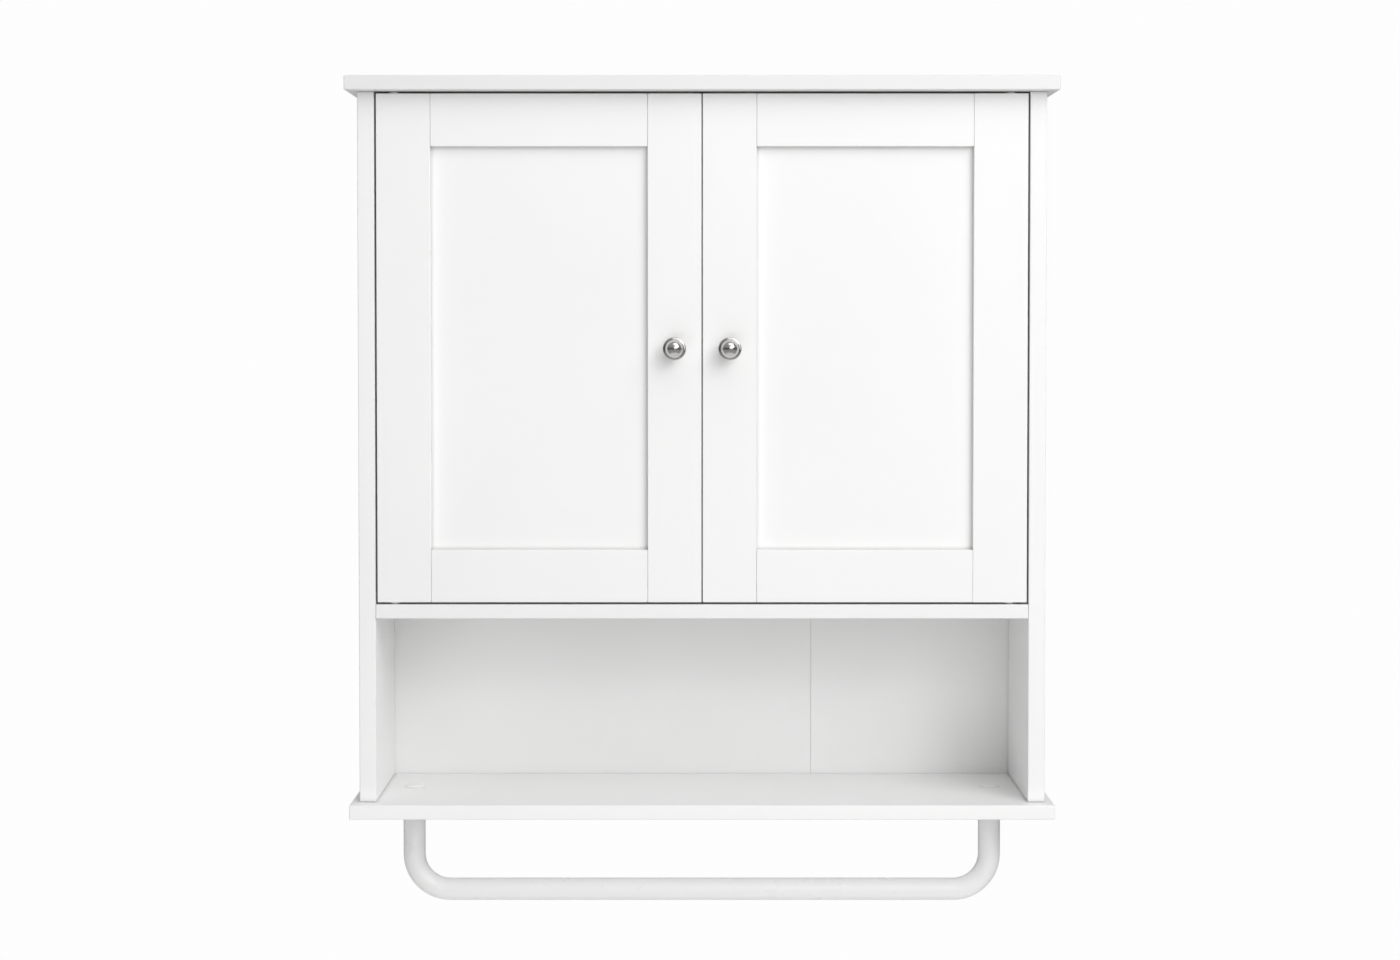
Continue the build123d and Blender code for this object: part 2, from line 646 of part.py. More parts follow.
def knob(side):
    """Foot, waisted neck, rounded rim, a small step and a dome, turned about its screw's axis."""
    foot_edge = (KNOB_FOOT_R, KNOB_FOOT_THK)
    rim_rear = (KNOB_HEAD_R - KNOB_RIM_ROUND, KNOB_RIM_REAR)
    rim_edge = (KNOB_HEAD_R, KNOB_RIM_REAR + KNOB_RIM_ROUND)
    rim_front = (KNOB_HEAD_R - KNOB_RIM_ROUND, KNOB_RIM_REAR + 2 * KNOB_RIM_ROUND)
    step_foot = (KNOB_DOME_BASE_R + KNOB_STEP / 2, rim_front[1] + KNOB_STEP / 4)
    dome_edge = (KNOB_DOME_BASE_R, step_foot[1] + KNOB_STEP)
    rise = KNOB_LENGTH - dome_edge[1]
    dome_radius = (KNOB_DOME_BASE_R**2 + rise**2) / (2 * rise)
    halfway_r = KNOB_DOME_BASE_R / 2
    halfway_d = KNOB_LENGTH - dome_radius + (dome_radius**2 - halfway_r**2) ** 0.5

    outline = Polyline((0, 0), (KNOB_FOOT_R, 0), foot_edge)
    outline += ThreePointArc(foot_edge, (KNOB_NECK_R, KNOB_NECK_AT), rim_rear)
    outline += ThreePointArc(rim_rear, rim_edge, rim_front)
    outline += Polyline(rim_front, step_foot, dome_edge)
    outline += ThreePointArc(dome_edge, (halfway_r, halfway_d), (0, KNOB_LENGTH))
    outline += Line((0, KNOB_LENGTH), (0, 0))
    piece = revolve(Plane.XZ * make_face(outline), Axis.Z)

    outward = Plane(origin=knob_axis(side), z_dir=(0, -1, 0))
    bore_depth = KNOB_SCREW_REACH + HOLE_END_ROOM
    return outward * piece - rod(KNOB_SCREW_R + HOLE_PLAY, knob_axis(side), (0, -1, 0), bore_depth)


def knob_screw(side):
    """From behind the door through the stile into the knob."""
    seat = offset(knob_axis(side), (0, 1, 0), DOOR_THK)
    length = DOOR_THK + KNOB_SCREW_REACH
    piece = screw(seat, (0, -1, 0), KNOB_SCREW_R, length, KNOB_SCREW_HEAD_R, KNOB_SCREW_HEAD)
    return piece - cross_slot(seat, (0, -1, 0), KNOB_SCREW_HEAD, KNOB_SCREW_HEAD_R)


def strike_plate(side):
    """A steel plate on the back of the meeting stile, countersunk for its screw."""
    width, thickness, height = STRIKE_SIZE
    x = side * CATCH_CENTRE_X
    z_span = (STRIKE_MID_Z - height / 2, STRIKE_MID_Z + height / 2)
    plate = block((x - width / 2, x + width / 2), (DOOR_REAR, DOOR_REAR + thickness), z_span)
    return plate - strike_screw(side, HOLE_PLAY)


def strike_screw(side, play=0.0):
    """A countersunk screw, flush with the plate's rear face; play widens it all round."""
    seat = (side * CATCH_CENTRE_X, DOOR_REAR + STRIKE_SIZE[1], STRIKE_MID_Z)
    head_radius = STRIKE_SCREW_HEAD_R + play
    return countersunk_screw(seat, (0, -1, 0), SMALL_SCREW_R + play, SMALL_SCREW_GRIP, head_radius)


# ---- the parts -------------------------------------------------------------------------

os.makedirs("parts", exist_ok=True)

save("top_board", top_board())
save("bottom_board", bottom_board())
save("fixed_shelf", fixed_shelf())
save("adjustable_shelf", adjustable_shelf())
save("hanging_rail", hanging_rail())

BACK_EDGE_X = INNER_X + GROOVE_DEPTH - HOLE_END_ROOM
save("back_panel_left", back_panel((-BACK_EDGE_X, BACK_SEAM_X - BACK_SEAM_GAP / 2)))
save("back_panel_right", back_panel((BACK_SEAM_X + BACK_SEAM_GAP / 2, BACK_EDGE_X)))
save("back_fold_tape", back_fold_tape())

save("cam_bolts", *[cam_bolt(point, direction) for point, direction, _ in cam_joints()])
save("cam_nuts", *[cam_nut(*joint) for joint in cam_joints()])
save("wood_dowels", *[dowel(*joint) for joint in dowel_joints()])
save("bottom_screws", *[bottom_screw(point) for point in bottom_screw_points()])
save("shelf_pins", *[shelf_pin(side, y) for side in SIDES for y in SHELF_PIN_YS])

save("pivot_pins", *[pivot_pin(side, z, up) for side in SIDES for z, up in PIN_BOARD_FACES])

save("towel_bar", towel_bar())
save("towel_bar_plugs", *[towel_bar_plug(point) for point in towel_bar_points()])
save("towel_bar_screws", *[towel_bar_screw(point) for point in towel_bar_points()])
save("screw_cover_caps", *[screw_cover_cap(point) for point in towel_bar_points()])

save("catch_housings", *[catch_housing(side) for side in SIDES])
save("catch_magnets", *[magnet(side) for side in SIDES])
save("catch_pole_plates", *[plate for side in SIDES for plate in pole_plates(side)])
save("catch_screws", *[small_screw(point, (0, 0, 1)) for point in catch_screw_points()])

for side, name in zip(SIDES, ("left", "right")):
    save(f"{name}_side_panel", side_panel(side))
    save(f"{name}_hinge_stile", hinge_stile(side))
    save(f"{name}_meeting_stile", meeting_stile(side))
    save(f"{name}_top_rail", door_rail(side, DOOR_TOP, DOOR_TOP - RAIL_WIDTH))
    save(f"{name}_bottom_rail", door_rail(side, DOOR_FOOT, DOOR_FOOT + RAIL_WIDTH))
    save(f"{name}_door_panel", door_panel(side))
    save(f"{name}_pivot_bushes", *[pivot_bush(side, z, up) for z, up in BUSH_DOOR_ENDS])
    save(f"{name}_knob", knob(side))
    save(f"{name}_knob_screw", knob_screw(side))
    save(f"{name}_strike_plate", strike_plate(side))
    save(f"{name}_strike_screw", strike_screw(side))
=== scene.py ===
"""Looks for the hanging wall cabinet: painted boards with softened edges, a bent white tube,
polished knobs and the small hardware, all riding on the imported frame. Metres."""

import json
import math

import bmesh
import bpy
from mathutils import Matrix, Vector


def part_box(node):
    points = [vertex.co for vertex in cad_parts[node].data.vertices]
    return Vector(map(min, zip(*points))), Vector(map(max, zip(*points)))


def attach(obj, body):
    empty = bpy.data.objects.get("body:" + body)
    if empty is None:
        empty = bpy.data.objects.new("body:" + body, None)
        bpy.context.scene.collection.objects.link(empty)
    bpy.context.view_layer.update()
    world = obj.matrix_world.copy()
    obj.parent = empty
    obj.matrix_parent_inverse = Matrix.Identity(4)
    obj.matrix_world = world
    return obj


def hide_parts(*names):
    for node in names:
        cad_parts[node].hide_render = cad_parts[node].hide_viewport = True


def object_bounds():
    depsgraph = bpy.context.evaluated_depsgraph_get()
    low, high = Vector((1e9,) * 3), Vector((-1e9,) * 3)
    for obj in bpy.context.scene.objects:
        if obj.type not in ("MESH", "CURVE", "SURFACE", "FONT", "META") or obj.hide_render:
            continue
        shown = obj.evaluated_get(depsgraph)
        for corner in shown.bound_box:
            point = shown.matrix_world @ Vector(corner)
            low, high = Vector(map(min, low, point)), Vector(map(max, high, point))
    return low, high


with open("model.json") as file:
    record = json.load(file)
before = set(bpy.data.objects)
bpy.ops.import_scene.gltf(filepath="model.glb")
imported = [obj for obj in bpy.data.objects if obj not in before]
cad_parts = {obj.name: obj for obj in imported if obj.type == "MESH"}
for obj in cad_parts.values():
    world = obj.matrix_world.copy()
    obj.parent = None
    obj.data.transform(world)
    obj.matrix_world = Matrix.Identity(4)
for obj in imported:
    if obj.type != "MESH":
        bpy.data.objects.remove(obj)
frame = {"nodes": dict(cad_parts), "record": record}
cad_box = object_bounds()

BODIES = frame["record"]["behaviour"]["bodies"]
BODY_OF = {node: body for body, nodes in BODIES.items() for node in nodes}
SLOT_OF = {row["node"]: row["material_slot"] for row in frame["record"]["subparts"]}
DOORS = ("left", "right")


# ---- camera ----------------------------------------------------------------------------

CAMERA_AT = Vector((-0.0071, -2.4796, -0.1592))
CAMERA_PITCH = 1.865            # degrees below level
CAMERA_LENS = 71.56
CAMERA_SHIFT = (0.0046, -0.05)


def make_camera():
    data = bpy.data.cameras.new("camera")
    data.lens = CAMERA_LENS
    data.sensor_width = 36.0
    data.shift_x, data.shift_y = CAMERA_SHIFT
    camera = bpy.data.objects.new("camera", data)
    camera.location = CAMERA_AT
    camera.rotation_euler = (math.radians(90.0 - CAMERA_PITCH), 0.0, 0.0)
    bpy.context.scene.collection.objects.link(camera)
    bpy.context.scene.camera = camera


make_camera()


# ---- materials -------------------------------------------------------------------------


class Shader:
    """A Principled material and the few node moves that the finishes share."""

    def __init__(self, name, colour, roughness, metallic=0.0):
        self.material = bpy.data.materials.new(name)
        self.material.use_nodes = True
        self.tree = self.material.node_tree
        self.nodes = self.tree.nodes
        self.principled = self.nodes["Principled BSDF"]
        self.set("Base Color", (*colour, 1.0))
        self.set("Roughness", roughness)
        self.set("Metallic", metallic)
        self.place = self.nodes.new("ShaderNodeTexCoord").outputs["Object"]
        self.height = None

    def set(self, socket, value):
        self.principled.inputs[socket].default_value = value

    def link(self, output, socket):
        self.tree.links.new(output, socket)

    def noise(self, scale, detail=2.0, roughness=0.5, stretch=None):
        """A noise pattern in the object's own space, scale in features per metre."""
        place = self.place
        if stretch:
            mapping = self.nodes.new("ShaderNodeMapping")
            mapping.inputs["Scale"].default_value = stretch
            self.link(place, mapping.inputs["Vector"])
            place = mapping.outputs["Vector"]
        node = self.nodes.new("ShaderNodeTexNoise")
        node.inputs["Scale"].default_value = scale
        node.inputs["Detail"].default_value = detail
        node.inputs["Roughness"].default_value = roughness
        self.link(place, node.inputs["Vector"])
        return node.outputs["Fac"]

    def spread(self, value, low, high):
        """The pattern's middle range drawn out to low..high."""
        node = self.nodes.new("ShaderNodeMapRange")
        node.inputs["From Min"].default_value = 0.3
        node.inputs["From Max"].default_value = 0.7
        node.inputs["To Min"].default_value = low
        node.inputs["To Max"].default_value = high
        self.link(value, node.inputs["Value"])
        return node.outputs["Result"]

    def mix(self, factor, colour_a, colour_b):
        """colour_a where factor is 0 and colour_b where it is 1; either may be an output."""
        node = self.nodes.new("ShaderNodeMix")
        node.data_type = "RGBA"
        self.link(factor, node.inputs["Factor"])
        for socket, colour in ((node.inputs[6], colour_a), (node.inputs[7], colour_b)):
            if isinstance(colour, tuple):
                socket.default_value = (*colour, 1.0)
            else:
                self.link(colour, socket)
        return node.outputs[2]

    def colour(self, output):
        self.link(output, self.principled.inputs["Base Color"])

    def roughness(self, output):
        self.link(output, self.principled.inputs["Roughness"])

    def bump(self, value, distance, strength=1.0):
        """Adds a relief; distance is the pattern's real height."""
        node = self.nodes.new("ShaderNodeBump")
        node.inputs["Distance"].default_value = distance
        node.inputs["Strength"].default_value = strength
        self.link(value, node.inputs["Height"])
        if self.height:
            self.link(self.height, node.inputs["Normal"])
        self.height = node.outputs["Normal"]
        self.link(self.height, self.principled.inputs["Normal"])

    def painted_crevice_shade(self, reach):
        """Painted shade: near 1 on open surfaces, falling in seams and corners, where it darkens the
        colour.
        """
        node = self.nodes.new("ShaderNodeAmbientOcclusion")
        node.inputs["Distance"].default_value = reach
        node.samples = 4
        return node.outputs["AO"]


def scaled(colour, factor):
    return tuple(c * factor for c in colour)


WHITE = (0.925, 0.925, 0.922)
PAINTED_SHADE_REACH = 0.0035          # how far from a seam or corner the painted shade is felt
PAINTED_SEAM_SHADE = 0.6             # the paint's colour darkened to this in the deepest seam: painted shade


def white_paint(name, shade=1.0):
    """Satin lacquer on fibreboard: faint roller texture, a little unevenness in tone and gloss, and
    painted shade darkening seams and corners.
    """
    base = scaled(WHITE, shade)
    s = Shader(name, base, 0.42)
    tone = s.mix(s.spread(s.noise(5.0, 3.0), 0.0, 1.0), scaled(base, 0.987), scaled(base, 1.008))
    # painted shade: the colour falls towards a darker copy of the paint in seams and corners
    painted_seam_shade = s.painted_crevice_shade(PAINTED_SHADE_REACH)
    s.colour(s.mix(painted_seam_shade, scaled(base, PAINTED_SEAM_SHADE), tone))
    s.roughness(s.spread(s.noise(22.0, 4.0), 0.38, 0.47))
    s.bump(s.noise(55.0, 2.0), 0.00006)
    s.bump(s.noise(750.0, 3.0), 0.000012)
    s.set("Sheen Weight", 0.3)
    s.set("Sheen Roughness", 0.4)
    return s.material


def white_foil(name):
    """The back sheet: white printed face, bare brown fibre on the rear."""
    face = scaled(WHITE, 0.985)
    s = Shader(name, face, 0.5)
    front = s.mix(s.spread(s.noise(9.0, 3.0), 0.0, 1.0), scaled(face, 0.985), face)
    fibre_tone = s.noise(420.0, 6.0, 0.65)
    fibre_patch = s.noise(14.0, 3.0)
    bare = s.mix(s.spread(fibre_tone, 0.0, 1.0), (0.205, 0.125, 0.068), (0.36, 0.24, 0.145))
    bare = s.mix(s.spread(fibre_patch, 0.0, 0.35), bare, (0.26, 0.165, 0.095))
    facing = s.nodes.new("ShaderNodeSeparateXYZ")
    s.link(s.nodes.new("ShaderNodeNewGeometry").outputs["Normal"], facing.inputs[0])
    is_front = s.nodes.new("ShaderNodeMath")
    is_front.operation = "LESS_THAN"        # the face looks along -Y and the rear along +Y
    is_front.inputs[1].default_value = 0.5
    s.link(facing.outputs["Y"], is_front.inputs[0])
    s.colour(s.mix(is_front.outputs[0], bare, front))
    s.bump(s.noise(520.0, 4.0), 0.00002)
    return s.material


def paper_tape(name):
    """Creped paper tape: pale brown, matt, with fibres along it."""
    s = Shader(name, (0.72, 0.67, 0.57), 0.8)
    fibres = s.noise(900.0, 4.0, 0.6, (1.0, 1.0, 0.25))
    s.colour(s.mix(s.spread(fibres, 0.0, 1.0), (0.66, 0.61, 0.51), (0.77, 0.72, 0.62)))
    s.bump(fibres, 0.00004)
    return s.material


def powder_coat(name):
    """White powder coat on steel tube: fine orange peel under a soft gloss."""
    # painted light: the coat's white is set lighter than the boards' white so that the bar reads as
    # bright as the doors
    base = scaled(WHITE, 1.055)
    s = Shader(name, base, 0.3)
    s.colour(s.mix(s.spread(s.noise(7.0), 0.0, 1.0), scaled(base, 0.985), base))
    s.roughness(s.spread(s.noise(60.0, 3.0), 0.26, 0.36))
    s.bump(s.noise(1100.0, 2.0), 0.000018)
    s.set("Coat Weight", 0.8)
    s.set("Coat Roughness", 0.3)
    return s.material


def polished_nickel(name):
    """Warm bright plating with faint buffing marks."""
    s = Shader(name, (0.62, 0.612, 0.60), 0.14, 1.0)
    s.roughness(s.spread(s.noise(260.0, 4.0), 0.10, 0.19))
    s.bump(s.noise(1400.0, 3.0), 0.000002)
    return s.material


def zinc_plate(name):
    """Zinc plated steel: slightly blue, cloudy, dull in patches."""
    s = Shader(name, (0.52, 0.53, 0.55), 0.32, 1.0)
    cloud = s.noise(320.0, 4.0)
    s.colour(s.mix(s.spread(cloud, 0.0, 1.0), (0.46, 0.47, 0.49), (0.60, 0.61, 0.62)))
    s.roughness(s.spread(cloud, 0.24, 0.42))
    s.bump(s.noise(2500.0, 2.0), 0.000003)
    return s.material


def moulded_plastic(name):
    """White injection moulded plastic with a fine spark-eroded texture."""
    s = Shader(name, scaled(WHITE, 1.0), 0.4)
    s.colour(s.mix(s.spread(s.noise(90.0), 0.0, 1.0), scaled(WHITE, 0.975), WHITE))
    s.bump(s.noise(3000.0, 2.0), 0.000006)
    return s.material


def bare_beech(name):
    """Turned beech: pale, with short dark flecks along the dowel."""
    s = Shader(name, (0.60, 0.42, 0.26), 0.65)
    grain = s.noise(900.0, 4.0, 0.6, (1.0, 1.0, 0.12))
    s.colour(s.mix(s.spread(grain, 0.0, 1.0), (0.50, 0.34, 0.20), (0.68, 0.50, 0.32)))
    s.bump(grain, 0.00003)
    return s.material


def sintered_ferrite(name):
    """Dark grey magnet with pores."""
    s = Shader(name, (0.045, 0.045, 0.05), 0.6)
    pores = s.noise(2200.0, 3.0)
    s.colour(s.mix(s.spread(pores, 0.0, 1.0), (0.03, 0.03, 0.033), (0.07, 0.07, 0.075)))
    s.bump(pores, 0.00001)
    return s.material


FINISHES = {
    "white_board": white_paint("white_paint"),
    "back_sheet": white_foil("white_foil"),
    "paper_tape": paper_tape("paper_tape"),
    "white_tube": powder_coat("powder_coat"),
    "white_plastic": moulded_plastic("moulded_plastic"),
    "polished_nickel": polished_nickel("polished_nickel"),
    "zinc_plated_steel": zinc_plate("zinc_plate"),
    "beech": bare_beech("bare_beech"),
    "ferrite": sintered_ferrite("sintered_ferrite"),
}


def set_material(piece, material):
    piece.data.materials.clear()
    piece.data.materials.append(material)


for node, cad_object in frame["nodes"].items():
    set_material(cad_object, FINISHES[SLOT_OF[node]])


# ---- pieces ----------------------------------------------------------------------------

FLAT = math.radians(1.0)        # faces this close to level with each other are joined
CORNER = math.radians(50.0)     # sharper outward edges are rounded
CREASE = math.radians(35.0)     # sharper edges that are left shade as a crease
DRILLED = 0.004                 # rims of drilled holes are made of shorter edges
WELD = 1e-6                     # points nearer than this are one point
ROUND_STEPS = 3                 # flats across a rounded corner
BOARD_EDGE_R = 0.0009
DOOR_EDGE_R = 0.00075
HARDWARE_EDGE_R = {
    "white_plastic": 0.00025,
    "zinc_plated_steel": 0.00012,
    "beech": 0.0003,
    "ferrite": 0.0002,
}


def new_piece(name, mesh, node, material=None):
    """A new piece that stands for a CAD node and rides on its body."""
    piece = bpy.data.objects.new(name, mesh)
    bpy.context.scene.collection.objects.link(piece)
    set_material(piece, material or FINISHES[SLOT_OF[node]])
    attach(piece, BODY_OF[node])
    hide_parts(node)
    return piece


def rounded(node, radius, shortest=0.0, material=None):
    """The CAD shape with its outward corners rounded over; edges under shortest stay crisp."""
    bm = bmesh.new()
    bm.from_mesh(frame["nodes"][node].data)
    bmesh.ops.remove_doubles(bm, verts=bm.verts, dist=WELD)
    bmesh.ops.dissolve_limit(bm, angle_limit=FLAT, verts=bm.verts, edges=bm.edges)
    bm.normal_update()
    corners = [
        edge
        for edge in bm.edges
        if len(edge.link_faces) == 2
        and edge.is_convex
        and edge.calc_face_angle() > CORNER
        and edge.calc_length() > shortest
    ]
    bmesh.ops.bevel(
        bm,
        geom=corners,
        offset=radius,
        segments=ROUND_STEPS,
        profile=0.5,
        affect="EDGES",
        clamp_overlap=True,
    )
    bm.normal_update()
    for face in bm.faces:
        face.smooth = True
    for edge in bm.edges:
        edge.smooth = len(edge.link_faces) == 2 and edge.calc_face_angle() < CREASE
    mesh = bpy.data.meshes.new(f"{node}_rounded")
    bm.to_mesh(mesh)
    bm.free()
    piece = new_piece(f"{node}_rounded", mesh, node, material)
    weighted = piece.modifiers.new("flat_faces", "WEIGHTED_NORMAL")
    weighted.keep_sharp = True
    weighted.weight = 100
    return piece


CARCASS_BOARDS = (
    "top_board",
    "bottom_board",
    "fixed_shelf",
    "adjustable_shelf",
    "hanging_rail",
    "left_side_panel",
    "right_side_panel",
)

# painted light and shade: these three boards get the same paint a little darker (top, shelf) or
# lighter (bottom) than the other boards, to even out the lights
BOARD_PAINTED_SHADE = {
    "top_board": white_paint("white_paint_top_painted_shade", 0.90),
    "fixed_shelf": white_paint("white_paint_shelf_painted_shade", 0.97),
    "bottom_board": white_paint("white_paint_bottom_painted_light", 1.02),
}
for node in CARCASS_BOARDS:
    rounded(node, BOARD_EDGE_R, DRILLED, BOARD_PAINTED_SHADE.get(node))
for door in DOORS:
    for member in ("hinge_stile", "meeting_stile", "top_rail", "bottom_rail"):
        rounded(f"{door}_{member}", DOOR_EDGE_R, DRILLED)

for node, slot in SLOT_OF.items():
    if slot in HARDWARE_EDGE_R:
        rounded(node, HARDWARE_EDGE_R[slot])


def ring_mesh(name, centres, tangents, radius, bore, steps=64):
    """A tube through the centres: outside wall, bore and the two ring-shaped ends."""
    bm = bmesh.new()
    sideways = Vector((0.0, 1.0, 0.0))
    turns = [2.0 * math.pi * i / steps for i in range(steps)]
    walls = []
    for wall_radius in (radius, bore):
        rings = []
        for centre, tangent in zip(centres, tangents):
            across = tangent.cross(sideways)
            ring = [
                bm.verts.new(centre + wall_radius * (math.cos(t) * sideways + math.sin(t) * across))
                for t in turns
            ]
            rings.append(ring)
        walls.append(rings)
    for rings in walls:
        for ring, following in zip(rings, rings[1:]):
            for i in range(steps):
                j = (i + 1) % steps
                face = bm.faces.new((ring[i], ring[j], following[j], following[i]))
                face.smooth = True
    for end in (0, -1):
        outer, inner = walls[0][end], walls[1][end]
        for i in range(steps):
            j = (i + 1) % steps
            bm.faces.new((outer[i], outer[j], inner[j], inner[i]))
    bmesh.ops.recalc_face_normals(bm, faces=bm.faces)
    mesh = bpy.data.meshes.new(name)
    bm.to_mesh(mesh)
    bm.free()
    return mesh


TUBE_WALL = 0.0012
TUBE_BEND_R = 0.031
BEND_STEPS = 24


def towel_bar():
    """Down from the bottom board, round, across, round and back up."""
    low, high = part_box("towel_bar")
    radius = (high.y - low.y) / 2
    y = (high.y + low.y) / 2
    leg_x = high.x - radius
    bar_z = low.z + radius
    centres = [Vector((-leg_x, y, high.z))]
    tangents = [Vector((0.0, 0.0, -1.0))]
    for side in (-1, 1):
        middle = Vector((side * (leg_x - TUBE_BEND_R), y, bar_z + TUBE_BEND_R))
        for step in range(BEND_STEPS + 1):
            turn = math.pi / 2 * step / BEND_STEPS
            if side < 0:
                out = Vector((-math.cos(turn), 0.0, -math.sin(turn)))
                along = Vector((math.sin(turn), 0.0, -math.cos(turn)))
            else:
                out = Vector((math.sin(turn), 0.0, -math.cos(turn)))
                along = Vector((math.cos(turn), 0.0, math.sin(turn)))
            centres.append(middle + TUBE_BEND_R * out)
            tangents.append(along)
    centres.append(Vector((leg_x, y, high.z)))
    tangents.append(Vector((0.0, 0.0, 1.0)))
    mesh = ring_mesh("towel_bar_tube", centres, tangents, radius, radius - TUBE_WALL)
    return new_piece("towel_bar_tube", mesh, "towel_bar")


towel_bar()


def arc(centre, radius, start, end, steps):
    """Points (out, along) round a centre, from angle start to end in degrees."""
    points = []
    for step in range(steps + 1):
        angle = math.radians(start + (end - start) * step / steps)
        out, along = centre
        points.append((out + radius * math.cos(angle), along + radius * math.sin(angle)))
    return points


def circle_through(first, middle, last):
    """Centre and radius of the circle through three (out, along) points."""
    (ax, ay), (bx, by), (cx, cy) = first, middle, last
    twice = 2 * (ax * (by - cy) + bx * (cy - ay) + cx * (ay - by))
    aa, bb, cc = ax * ax + ay * ay, bx * bx + by * by, cx * cx + cy * cy
    x = (aa * (by - cy) + bb * (cy - ay) + cc * (ay - by)) / twice
    y = (aa * (cx - bx) + bb * (ax - cx) + cc * (bx - ax)) / twice
    return (x, y), math.hypot(ax - x, ay - y)


def arc_through(first, middle, last, steps):
    centre, radius = circle_through(first, middle, last)
    start, on_way, end = [
        math.degrees(math.atan2(along - centre[1], out - centre[0]))
        for out, along in (first, middle, last)
    ]
    turn = (end - start) % 360.0
    if (on_way - start) % 360.0 > turn:
        turn -= 360.0
    return arc(centre, radius, start, start + turn, steps)


MM = 0.001

# the knob's section in mm; pairs are (out from the axis, along it)
KNOB_BORE = (2.05, 9.5)
KNOB_FOOT = (6.5, 1.2)
KNOB_NECK = (4.6, 6.0)
KNOB_HEAD_R = 9.7
KNOB_RIM_REAR = 13.4
KNOB_RIM_ROUND = 1.2
KNOB_DOME_R = 7.7
KNOB_STEP = 0.6
KNOB_LENGTH = 22.6
KNOB_EDGE = 0.18
NECK_STEPS = 28
RIM_STEPS = 18
DOME_STEPS = 40
TURN_STEPS = 128


def knob_outline():
    """Half section of the knob, mm: from its screw hole out over foot, neck, rim and dome."""
    foot_r, foot_thk = KNOB_FOOT
    bore_r, bore_depth = KNOB_BORE
    shoulder = KNOB_HEAD_R - KNOB_RIM_ROUND
    rim_rear = (shoulder, KNOB_RIM_REAR)
    rim_edge = (KNOB_HEAD_R, KNOB_RIM_REAR + KNOB_RIM_ROUND)
    rim_front = (shoulder, KNOB_RIM_REAR + 2 * KNOB_RIM_ROUND)
    step_foot = (KNOB_DOME_R + KNOB_STEP / 2, rim_front[1] + KNOB_STEP / 4)
    dome_edge = (KNOB_DOME_R, step_foot[1] + KNOB_STEP)
    rise = KNOB_LENGTH - dome_edge[1]
    dome_radius = (KNOB_DOME_R**2 + rise**2) / (2 * rise)
    dome_slope = math.degrees(math.asin(KNOB_DOME_R / dome_radius))
    points = [(0.0, bore_depth), (bore_r, bore_depth), (bore_r, 0.0)]
    points += [(foot_r - KNOB_EDGE, 0.0), (foot_r, KNOB_EDGE)]
    points += arc_through((foot_r, foot_thk), KNOB_NECK, rim_rear, NECK_STEPS)
    points += arc_through(rim_rear, rim_edge, rim_front, RIM_STEPS)[1:]
    points += [step_foot]
    dome_centre = (0.0, KNOB_LENGTH - dome_radius)
    points += arc(dome_centre, dome_radius, 90.0 - dome_slope, 90.0, DOME_STEPS)
    points[-1] = (0.0, KNOB_LENGTH)
    return points


def turned_mesh(name, outline, origin, axis, steps):
    """The outline turned about an axis through the origin; outline points are (out, along)."""
    axis = axis.normalized()
    side = axis.orthogonal().normalized()
    other = axis.cross(side)
    bm = bmesh.new()
    rings = []
    for out, along in outline:
        middle = origin + axis * along
        if out < 1e-9:
            rings.append([bm.verts.new(middle)])
            continue
        turns = [2.0 * math.pi * i / steps for i in range(steps)]
        ring = [bm.verts.new(middle + out * (math.cos(t) * side + math.sin(t) * other)) for t in turns]
        rings.append(ring)
    for ring, following in zip(rings, rings[1:]):
        for i in range(steps):
            j = (i + 1) % steps
            if len(ring) == 1:
                corners = (ring[0], following[j], following[i])
            elif len(following) == 1:
                corners = (ring[i], ring[j], following[0])
            else:
                corners = (ring[i], ring[j], following[j], following[i])
            bm.faces.new(corners).smooth = True
    bmesh.ops.recalc_face_normals(bm, faces=bm.faces)
    for edge in bm.edges:
        edge.smooth = edge.calc_face_angle(0.0) < CREASE
    mesh = bpy.data.meshes.new(name)
    bm.to_mesh(mesh)
    bm.free()
    return mesh


def knob(door):
    node = f"{door}_knob"
    low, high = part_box(node)
    foot_centre = Vector(((low.x + high.x) / 2, high.y, (low.z + high.z) / 2))
    outline = [(out * MM, along * MM) for out, along in knob_outline()]
    mesh = turned_mesh(f"{node}_turned", outline, foot_centre, Vector((0.0, -1.0, 0.0)), TURN_STEPS)
    new_piece(f"{node}_turned", mesh, node)


for door in DOORS:
    knob(door)


# ---- studio ----------------------------------------------------------------------------

BACKDROP = 0.985
WORLD_STRENGTH = 0.78
FLOOR_BELOW = 0.9               # from the towel bar down to the floor
FLOOR_RADIUS = 1.75
FLOOR_CLEAR = 0.45              # the part of the radius that is solid floor
FLOOR_TONE = 0.95
OBJECT_CENTRE = (cad_box[0] + cad_box[1]) / 2

# light from all round by height of direction: (sine of elevation, level)
SKY = ((-1.0, 0.54), (-0.24, 0.46), (-0.07, 0.10), (0.05, 0.10), (0.30, 0.40), (1.0, 0.58))


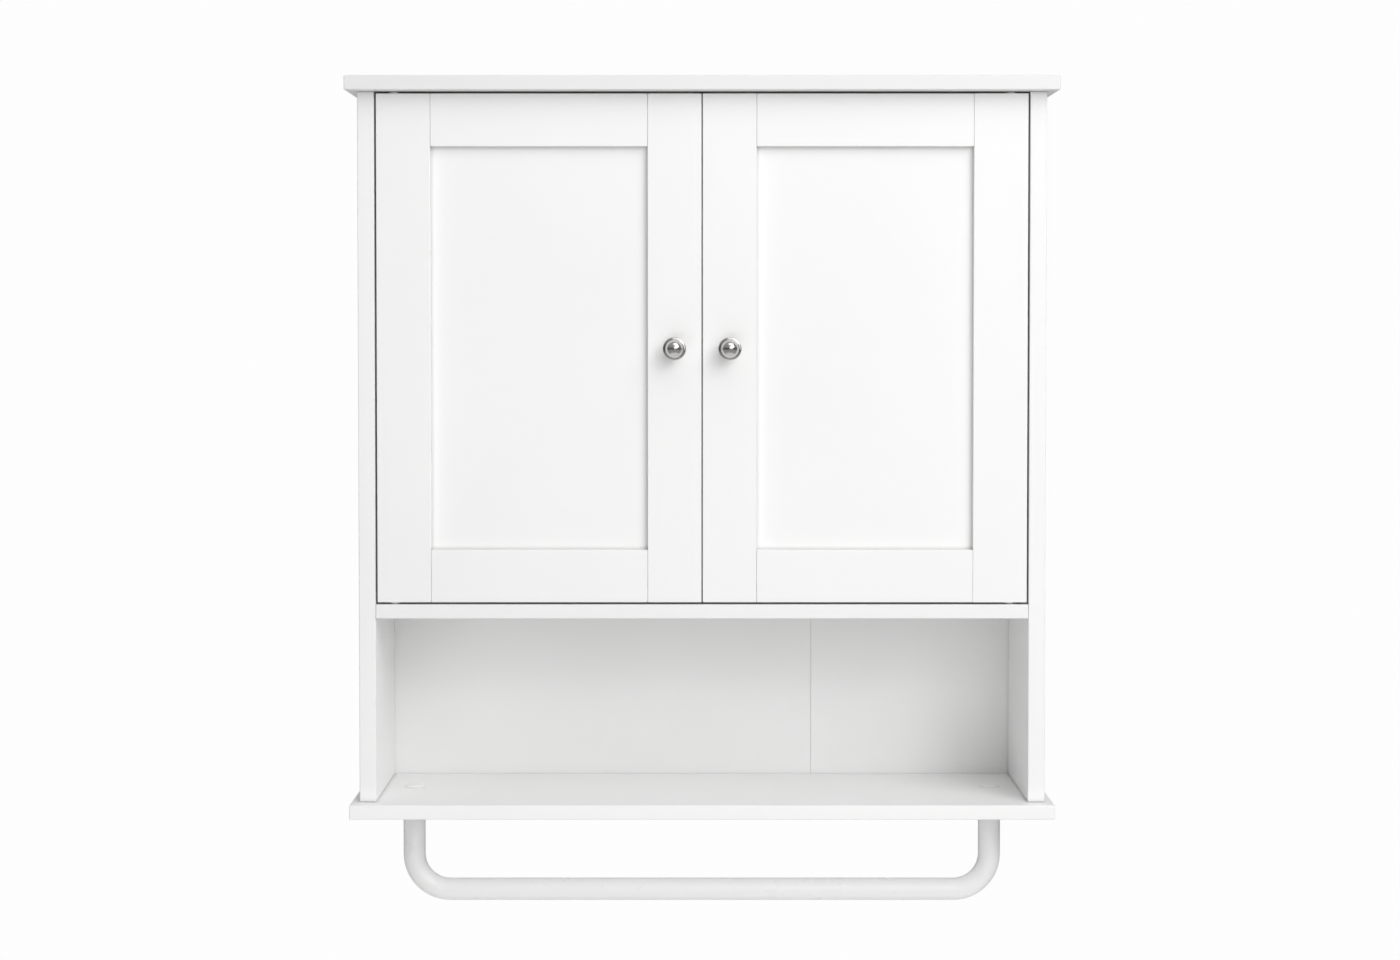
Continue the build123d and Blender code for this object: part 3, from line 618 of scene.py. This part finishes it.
def make_world(strength):
    """Soft light from above and below with a dim horizon, and a near-white backdrop where
    the camera sees it."""
    world = bpy.data.worlds.new("studio")
    bpy.context.scene.world = world
    world.use_nodes = True
    nodes, links = world.node_tree.nodes, world.node_tree.links
    direction = nodes.new("ShaderNodeSeparateXYZ")
    links.new(nodes.new("ShaderNodeTexCoord").outputs["Generated"], direction.inputs[0])
    height = nodes.new("ShaderNodeMapRange")
    height.inputs["From Min"].default_value = -1.0
    links.new(direction.outputs["Z"], height.inputs["Value"])
    ramp = nodes.new("ShaderNodeValToRGB")
    ramp.color_ramp.interpolation = "EASE"
    stops = ramp.color_ramp.elements
    while len(stops) < len(SKY):
        stops.new(0.5)
    for stop, (sine, level) in zip(stops, SKY):
        stop.position = (sine + 1.0) / 2
        stop.color = (level, level, level, 1.0)
    links.new(height.outputs["Result"], ramp.inputs["Fac"])
    light = nodes["Background"]
    light.inputs["Strength"].default_value = strength
    links.new(ramp.outputs["Color"], light.inputs["Color"])
    backdrop = nodes.new("ShaderNodeBackground")
    backdrop.inputs["Color"].default_value = (BACKDROP, BACKDROP, BACKDROP, 1.0)
    path = nodes.new("ShaderNodeLightPath")
    mix = nodes.new("ShaderNodeMixShader")
    links.new(path.outputs["Is Camera Ray"], mix.inputs["Fac"])
    links.new(light.outputs["Background"], mix.inputs[1])
    links.new(backdrop.outputs["Background"], mix.inputs[2])
    links.new(mix.outputs["Shader"], nodes["World Output"].inputs["Surface"])


def soft_box(name, azimuth, elevation, distance, size, power, in_reflections=True):
    """A softbox aimed at the cabinet's middle; azimuth runs from the front to the right.
    Angles are in degrees, distance and size in metres, power in watts."""
    data = bpy.data.lights.new(name, "AREA")
    data.shape = "RECTANGLE"
    data.size, data.size_y = size
    data.energy = power
    lamp = bpy.data.objects.new(name, data)
    turn, lift = math.radians(azimuth), math.radians(elevation)
    level = math.cos(lift)
    away = Vector((math.sin(turn) * level, -math.cos(turn) * level, math.sin(lift)))
    lamp.location = OBJECT_CENTRE + away * distance
    lamp.rotation_euler = away.to_track_quat("Z", "Y").to_euler()
    lamp.visible_camera = False
    lamp.visible_glossy = in_reflections
    bpy.context.scene.collection.objects.link(lamp)


def pale_floor():
    """A round matt floor well below the cabinet that thins out to nothing at its rim."""
    bm = bmesh.new()
    bmesh.ops.create_circle(bm, cap_ends=True, radius=FLOOR_RADIUS, segments=96)
    mesh = bpy.data.meshes.new("floor")
    bm.to_mesh(mesh)
    bm.free()
    floor = bpy.data.objects.new("floor", mesh)
    floor.location = (OBJECT_CENTRE.x, OBJECT_CENTRE.y, cad_box[0].z - FLOOR_BELOW)
    bpy.context.scene.collection.objects.link(floor)
    material = bpy.data.materials.new("floor")
    material.use_nodes = True
    nodes, links = material.node_tree.nodes, material.node_tree.links
    shader = nodes["Principled BSDF"]
    shader.inputs["Base Color"].default_value = (FLOOR_TONE, FLOOR_TONE, FLOOR_TONE, 1.0)
    shader.inputs["Roughness"].default_value = 0.9
    away = nodes.new("ShaderNodeVectorMath")
    away.operation = "LENGTH"
    links.new(nodes.new("ShaderNodeTexCoord").outputs["Object"], away.inputs[0])
    cover = nodes.new("ShaderNodeMapRange")
    cover.interpolation_type = "SMOOTHSTEP"
    cover.inputs["From Min"].default_value = FLOOR_RADIUS * FLOOR_CLEAR
    cover.inputs["From Max"].default_value = FLOOR_RADIUS
    cover.inputs["To Min"].default_value = 1.0
    cover.inputs["To Max"].default_value = 0.0
    links.new(away.outputs["Value"], cover.inputs["Value"])
    links.new(cover.outputs["Result"], shader.inputs["Alpha"])
    mesh.materials.append(material)


pale_floor()
make_world(WORLD_STRENGTH)
soft_box("key", 36.0, 32.0, 3.2, (1.6, 1.6), 31.5)
soft_box("front", 16.0, 17.0, 3.0, (2.0, 1.8), 14.0)
soft_box("low_front", 16.0, 8.0, 3.0, (2.0, 1.8), 11.5, in_reflections=False)
soft_box("overhead", 20.0, 60.0, 2.8, (2.2, 1.3), 11.5)
soft_box("fill", -8.0, -16.0, 3.0, (2.6, 1.2), 14.5, in_reflections=False)
soft_box("rear", 170.0, 12.0, 3.0, (2.4, 1.8), 23.0, in_reflections=False)
soft_box("rear_left", 248.0, 8.0, 3.0, (1.8, 1.8), 15.0, in_reflections=False)

bpy.context.scene.view_settings.view_transform = "Standard"
bpy.context.scene.view_settings.look = "None"
